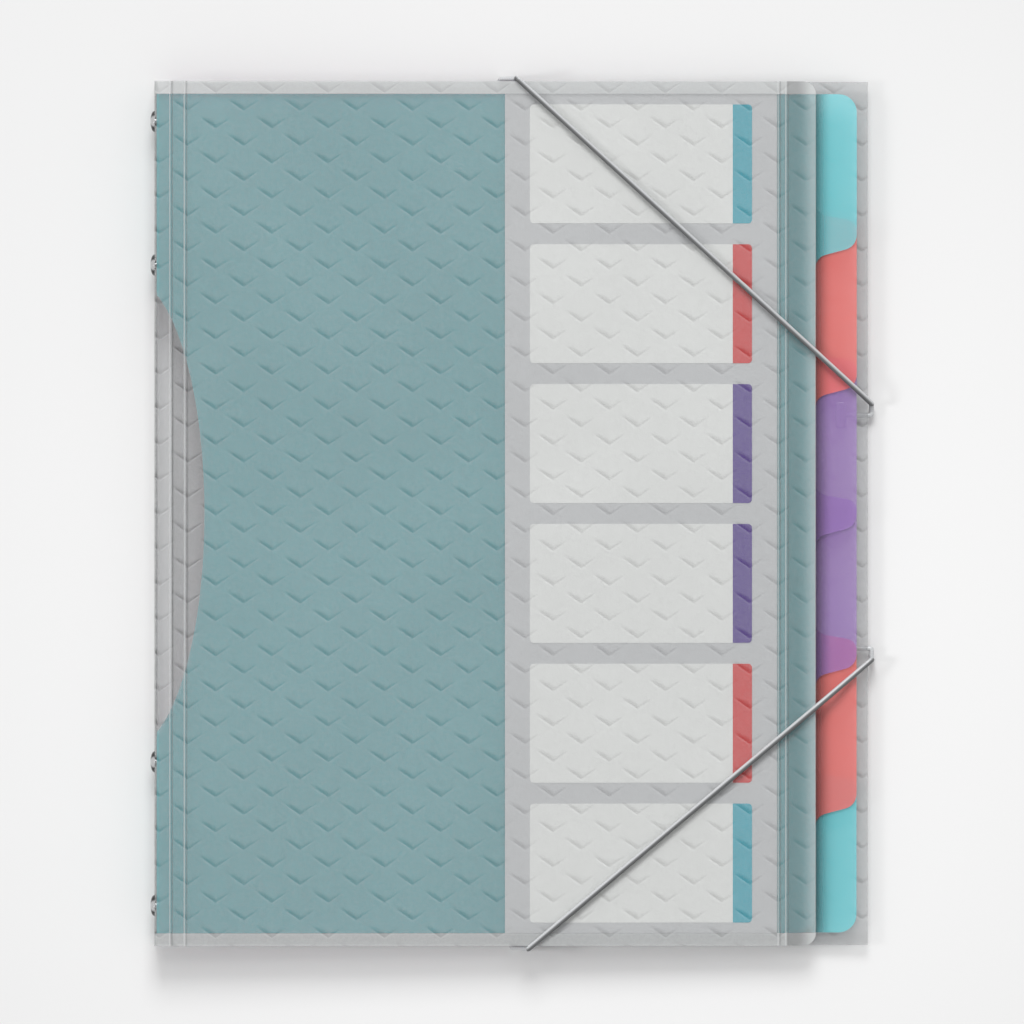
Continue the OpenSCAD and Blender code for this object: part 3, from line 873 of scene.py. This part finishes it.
class FOLDER_OT_dividers(Operator):
    """Finish the six dividers and their binding strips"""

    bl_idname = "folder.dividers"
    bl_label = "Dividers"

    def execute(self, context):
        props = context.scene.folder_dividers
        for hue, numbers in LEAF_HUES.items():
            opacity = props.red_opacity if hue == "red" else props.opacity
            finish = leaf_sheet(f"{hue} sheet", getattr(props, hue), opacity)
            for kind in ("divider", "binding"):
                finish_nodes(finish, *(f"{kind}_{number}" for number in numbers))
        return {"FINISHED"}


class FOLDER_OT_index(Operator):
    """Finish the index sheet and its six labels"""

    bl_idname = "folder.index"
    bl_label = "Index sheet"

    def execute(self, context):
        props = context.scene.folder_index
        finish_nodes(paper("index sheet", props.sheet), "index_sheet")
        bar_start = (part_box("label_1")[1].x - props.bar_width) / MM
        for hue, numbers in LEAF_HUES.items():
            finish = paper(f"{hue} label", props.label, getattr(props, hue), bar_start)
            finish_nodes(finish, *(f"label_{number}" for number in numbers))
        return {"FINISHED"}


def finish_nodes(finish, *nodes):
    """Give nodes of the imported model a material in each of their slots."""
    for node in nodes:
        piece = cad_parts[node]
        if not piece.material_slots:
            piece.data.materials.append(finish)
        for slot in piece.material_slots:
            slot.material = finish


class FOLDER_OT_elastics(Operator):
    """Make both corner elastics, each with its span over the front and its ends behind"""

    bl_idname = "folder.elastics"
    bl_label = "Elastics"

    def execute(self, context):
        """A round cord along bent() corner points. A span is begun square to its own line, and
        the ends from a direction that no stretch of them runs in."""
        props = context.scene.folder_elastics
        radius = props.diameter / 2
        # The span gets painted shade on its side towards the foot of the page
        finish = braid("braided elastic", props.tint, props.strands, painted_shade_side=0.9)
        end_finish = braid("braided elastic ends", props.tint, props.strands)
        tail_aside = np.array([0.62, 0.55, 0.56])
        span_reach, tail_reach = np.array([0.9, 4.0, 2.0, 3.0, 0.9]) * MM, 0.9 * MM
        span_step, tail_step = 0.45 * MM, 0.3 * MM
        for name, (span, across, ends, _) in elastic_routes().items():
            path, along = bent(span, span_reach, span_step)
            piece = cord_piece(f"elastic_{name}_span", path, along, radius, across)
            dress(piece, finish, f"elastic_{name}", "elastic_cord", f"elastic_{name}")
            tails = []
            for corners in ends:
                path, along = bent(corners, tail_reach, tail_step)
                tails.append(cord_piece("tail", path, along, radius, tail_aside))
            tail = joined(f"elastic_{name}_tails", tails)
            dress(tail, end_finish, "back_cover", "elastic_cord", f"elastic_{name}_ends")
        return {"FINISHED"}


class FOLDER_OT_rivets(Operator):
    """Make the four rivets through the spine, with their washers"""

    bl_idname = "folder.rivets"
    bl_label = "Rivets"

    def execute(self, context):
        """A rivet is a profile turned about X: a shallow dome with a rolled rim, a shank and a
        clinched end. A washer is a rounded rectangle turned about the same axis."""
        props, p = context.scene.folder_metal, PLACES
        lo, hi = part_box("rivets")
        washer_lo, washer_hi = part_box("rivet_washers")
        head_r = (hi.z - lo.z) / 2
        z = (hi.z + lo.z) / 2
        shank_r, rim, soft = props.shank / 2, 0.25 * MM, 0.12 * MM
        bore = shank_r + 0.05 * MM
        length = hi.x - p.spine_x
        start, seat = washer_lo.x - p.spine_x, washer_hi.x - p.spine_x
        half = (washer_hi.z - washer_lo.z) / 2
        roll = rim * 0.4
        dome_r = head_r - roll
        t = np.linspace(0, 1, 15)
        dome = np.stack([-rim - (props.head_height - rim) * np.sqrt(1 - t ** 2), dome_r * t], 1)
        turn = np.linspace(0, math.pi / 2, 5)[1:]
        rolled = np.stack([-rim * np.cos(turn), dome_r + roll * np.sin(turn)], 1)
        bead = np.linspace(0, math.pi / 2, 6)
        hollow_r = shank_r * 0.55
        clinch_r = hollow_r + ((shank_r + half) / 2 - hollow_r) * np.cos(bead)
        clinch = np.stack([seat + (length - seat) * np.sin(bead), clinch_r], 1)
        dip = [[length - 0.15 * MM, shank_r * 0.3], [length - 0.2 * MM, 0]]
        profile = np.concatenate([dome, rolled, [[0, shank_r], [seat, shank_r]], clinch, dip])
        near = soft * 0.3
        ring = [[start, bore], [start, half - soft], [start + near, half - near],
                [start + soft, half], [seat - soft, half], [seat - near, half - near],
                [seat, half - soft], [seat, bore], [start, bore]]
        rivets, washers = [], []
        for y in rivet_rows():
            centre = (p.spine_x, y, z)
            rivets.append(turned("rivet", profile, centre, (1, 0, 0), sharp=40))
            washers.append(turned("washer", ring, centre, (1, 0, 0), sharp=40))
        nickel = plated("nickel plate", props.nickel, 0.2)
        # The domes get a painted reflection
        domed = plated("nickel dome", props.nickel, 0.16, painted_reflection=True)
        dress(joined("spine_rivets", rivets), domed, "spine", "rivet_metal", "rivets")
        dress(joined("spine_washers", washers), nickel, "spine", "rivet_metal", "rivet_washers")
        return {"FINISHED"}


def rivet_rows():
    """Middles of the rivets along Y, from the gaps between the points of their node."""
    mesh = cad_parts["rivets"].data
    places = np.empty(len(mesh.vertices) * 3)
    mesh.vertices.foreach_get("co", places)
    y = np.sort(places[1::3])
    gap = 5 * MM
    groups = np.split(y, np.where(np.diff(y) > gap)[0] + 1)
    return [float((g[0] + g[-1]) / 2) for g in groups]


class FOLDER_OT_clips(Operator):
    """Make the flat clips that hold the elastics inside the back cover"""

    bl_idname = "folder.clips"
    bl_label = "Clips"

    def execute(self, context):
        """A clip is a grid of rings over a rounded rectangle, the curve |x|^5 + |y|^5 = 1
        stretched to its size: each ring is the outline drawn in by a share, at a share of the
        thickness, and the top is pressed down along the middle where it grips the cord."""
        props, p = context.scene.folder_metal, PLACES
        corner_power, grip_depth, seat_gap = 5.0, 0.12 * MM, 0.05 * MM
        angle = np.linspace(0, math.tau, 72, endpoint=False)
        way = np.stack([np.cos(angle), np.sin(angle)], 1)
        stretch = (np.abs(way) ** corner_power).sum(1) ** (-1 / corner_power)
        outline = way * stretch[:, None] * [props.clip_width / 2, props.clip_length / 2]
        shares = np.array([0, 0.3, 0.6, 0.88, 0.96, 1, 1, 0.96, 0.88, 0.5, 0])
        levels = np.array([1, 1, 1, 1, 0.94, 0.75, 0.25, 0.06, 0, 0, 0])
        clip = np.empty((len(shares), len(angle), 3))
        clip[..., :2] = outline * shares[:, None, None]
        grip = grip_depth * np.cos(clip[..., 0] / props.clip_width * math.pi) ** 4
        clip[..., 2] = props.clip_thickness * levels[:, None] - grip * (levels[:, None] == 1)
        clip[..., 2] += clip[..., 0] * p.back_rise
        clips = []
        for x, y, under in hole_places():
            place = [x, y, under + p.sheet_t + seat_gap]
            clips.append(from_grid("clip", clip + place, True, None, True, 40))
        finish = plated("clip steel", props.steel, 0.3, (0.15, 1, 1))
        clips = joined("elastic_end_clips", clips)
        dress(clips, finish, "back_cover", "clip_metal", "elastic_clips")
        return {"FINISHED"}


class FOLDER_OT_stage(Operator):
    """Make the floor, the soft light and the camera straight above"""

    bl_idname = "folder.stage"
    bl_label = "Stage"

    def execute(self, context):
        """The floor is a flat square grid, finer near the folder; its colour dims a little
        away from a place right of its middle and towards the foot, as a painted pool of light."""
        props, scene = context.scene.folder_stage, context.scene
        half_side, lines = 40, 9
        place = np.linspace(-1, 1, lines)
        place = np.sign(place) * np.abs(place) ** 3 * half_side
        points = np.stack(np.broadcast_arrays(place[:, None], place, 0.0), -1)
        floor = from_grid("floor", points)
        finish = material("pale floor")
        _, (x, y, _) = finish.places()
        # Painted pool of light on the floor
        bright_x, bright_y, near, far = 40, -70, 60, 380
        off_x, off_y = x - bright_x, y - bright_y
        distance = finish.math("SQRT", off_x * off_x + off_y * off_y)
        tint = props.floor
        colour = finish.mix(finish.smooth(distance, near, far), tint, scaled(tint, 0.88))
        floor.data.materials.append(
            finish.surface(Base_Color=colour, Roughness=0.9, Specular_IOR_Level=0.1))

        world = bpy.data.worlds.new("soft sky")
        scene.world = world
        sky = Finish(world)
        rays = sky.node("ShaderNodeLightPath")
        direct, mirrored, passing = (
            sky.out(rays, f"Is {kind} Ray") for kind in ("Camera", "Glossy", "Transmission"))
        seen = sky.math("MAXIMUM", direct, sky.math("MAXIMUM", mirrored, passing))
        even = sky.node("ShaderNodeBackground", Color=(1.0, 1.0, 1.0), Strength=props.sky)
        pale = sky.node("ShaderNodeBackground", Color=(0.86, 0.86, 0.86), Strength=1.0)
        both = sky.node("ShaderNodeMixShader", None, (seen, sky.out(even), sky.out(pale)))
        sky.node("ShaderNodeOutputWorld", Surface=sky.out(both))

        # Each lamp's name, share of the power, size and place
        for name, share, size, place in (("head_lamp", 1, 1.8, (0.0, 2.8, 2.85)),
                                         ("spine_lamp", 0.3, 0.8, (-2.9, -0.2, 2.4))):
            light = bpy.data.lights.new(name, "AREA")
            light.energy, light.shape, light.size = props.lamp * share, "DISK", size
            lamp = in_scene(name, light)
            lamp.location = place
            lamp.rotation_euler = (-lamp.location).to_track_quat("-Z", "Y").to_euler()

        lens = bpy.data.cameras.new("camera")
        lens.lens, lens.clip_start, lens.clip_end = props.lens, 0.1, 100
        distance = props.width * props.lens / lens.sensor_width
        folder_y, folder_z = 0.53 * MM, PLACES.top_z * 0.7
        scene.camera = in_scene("camera", lens)
        scene.camera.location = (0, folder_y, folder_z + distance)
        scene.view_settings.view_transform = "Standard"
        return {"FINISHED"}


class FOLDER_PT_pieces(Panel):
    """The folder's pieces, with their sizes and colours"""

    bl_label = "Sorting folder"
    bl_idname = "FOLDER_PT_pieces"
    bl_space_type = "VIEW_3D"
    bl_region_type = "UI"
    bl_category = "Folder"

    def draw(self, context):
        for operator in OPERATORS:
            self.layout.operator(operator.bl_idname)
        for name, group in GROUPS.items():
            box = self.layout.box()
            box.label(text=name.replace("_", " ").capitalize())
            for key in group.__annotations__:
                box.prop(getattr(context.scene, name), key)


GROUPS = {
    "folder_covers": FolderCovers, "folder_dividers": FolderDividers, "folder_index": FolderIndex,
    "folder_elastics": FolderElastics, "folder_metal": FolderMetal, "folder_stage": FolderStage,
}
OPERATORS = (
    FOLDER_OT_stage, FOLDER_OT_front_cover, FOLDER_OT_back_cover, FOLDER_OT_spine,
    FOLDER_OT_dividers, FOLDER_OT_index, FOLDER_OT_elastics, FOLDER_OT_rivets, FOLDER_OT_clips,
)
CLASSES = (*GROUPS.values(), *OPERATORS, FOLDER_PT_pieces)


def register():
    for item in CLASSES:
        bpy.utils.register_class(item)
    for name, group in GROUPS.items():
        setattr(bpy.types.Scene, name, PointerProperty(type=group))


def unregister():
    for name in GROUPS:
        delattr(bpy.types.Scene, name)
    for item in reversed(CLASSES):
        bpy.utils.unregister_class(item)


def corners(box):
    return [[float(v) for v in corner] for corner in box]


def main():
    """Make every piece in order."""
    register()
    for operator in OPERATORS:
        group, name = operator.bl_idname.split(".")
        getattr(getattr(bpy.ops, group), name)()


if __name__ == "__main__":
    main()
